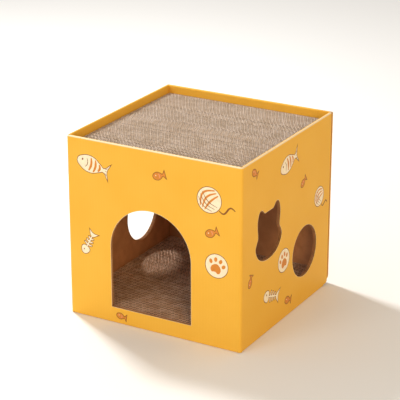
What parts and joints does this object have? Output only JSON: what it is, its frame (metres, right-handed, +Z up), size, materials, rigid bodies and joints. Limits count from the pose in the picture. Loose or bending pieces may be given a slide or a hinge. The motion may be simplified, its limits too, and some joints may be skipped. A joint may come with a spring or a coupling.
{
  "type": "foldable cat house",
  "caption": "Square cat house of printed corrugated board with an arched doorway, side windows, a sunken scratching pad on top and a scratching pad on its floor; its walls fold out flat.",
  "frame": {"origin": "middle of the base, on the surface that the house stands on", "axes": "+Z up; -Y is the front with the arched doorway; +X is the right side with the cat-head window, seen from the front"},
  "size_m": [0.38, 0.38, 0.37],
  "materials": {
    "printed_board": "satin",
    "kraft_board": "matte",
    "scratching_pad": "matte"
  },
  "bodies": {
    "front": {"front_wall": "printed_board", "front_lip": "printed_board", "front_support": "kraft_board", "shelf_board": "kraft_board"},
    "right": {"right_wall": "printed_board", "right_lip": "printed_board", "right_support": "kraft_board"},
    "left": {"left_wall": "printed_board", "left_lip": "printed_board", "left_support": "kraft_board"},
    "back": {"back_wall": "printed_board", "back_lip": "printed_board", "back_support": "kraft_board"},
    "flap": {"closing_flap": "printed_board"},
    "front_foot": {"front_bottom_flap": "kraft_board"},
    "right_foot": {"right_bottom_flap": "kraft_board"},
    "back_foot": {"back_bottom_flap": "kraft_board"},
    "left_foot": {"left_bottom_flap": "kraft_board"},
    "roof_pad": {"top_pad": "scratching_pad"},
    "floor_pad": {"bottom_pad": "scratching_pad"}
  },
  "joints": [
    {"name": "right_wall_fold", "type": "hinge", "parent": "front", "child": "right", "pos_m": [0.18824, -0.18824, 0.185], "axis": [0, 0, -1], "range_deg": [0, 90]},
    {"name": "left_wall_fold", "type": "hinge", "parent": "front", "child": "left", "pos_m": [-0.18824, -0.18824, 0.185], "axis": [0, 0, 1], "range_deg": [0, 90]},
    {"name": "back_wall_fold", "type": "hinge", "parent": "left", "child": "back", "pos_m": [-0.18824, 0.18824, 0.185], "axis": [0, 0, 1], "range_deg": [0, 90]},
    {"name": "closing_flap_fold", "type": "hinge", "parent": "right", "child": "flap", "pos_m": [0.18824, 0.18494, 0.185], "axis": [0, 0, -1], "range_deg": [0, 90]},
    {"name": "front_bottom_flap_fold", "type": "hinge", "parent": "front", "child": "front_foot", "pos_m": [0, -0.18883, 0.00117], "axis": [-1, 0, 0], "range_deg": [0, 90]},
    {"name": "right_bottom_flap_fold", "type": "hinge", "parent": "right", "child": "right_foot", "pos_m": [0.18883, 0, 0.00117], "axis": [0, -1, 0], "range_deg": [0, 90]},
    {"name": "back_bottom_flap_fold", "type": "hinge", "parent": "back", "child": "back_foot", "pos_m": [0, 0.18883, 0.00117], "axis": [1, 0, 0], "range_deg": [0, 90]},
    {"name": "left_bottom_flap_fold", "type": "hinge", "parent": "left", "child": "left_foot", "pos_m": [-0.18883, 0, 0.00117], "axis": [0, 1, 0], "range_deg": [0, 90]},
    {"name": "top_pad_lift", "type": "slide", "parent": "front", "child": "roof_pad", "axis": [0, 0, 1], "range_m": [0, 0.1]},
    {"name": "bottom_pad_lift", "type": "slide", "parent": "front", "child": "floor_pad", "axis": [0, 0, 1], "range_m": [0, 0.25]}
  ],
  "couplings": [
    {"joint": "back_wall_fold", "follows": "right_wall_fold", "ratio": 1},
    {"joint": "closing_flap_fold", "follows": "right_wall_fold", "ratio": 1}
  ]
}
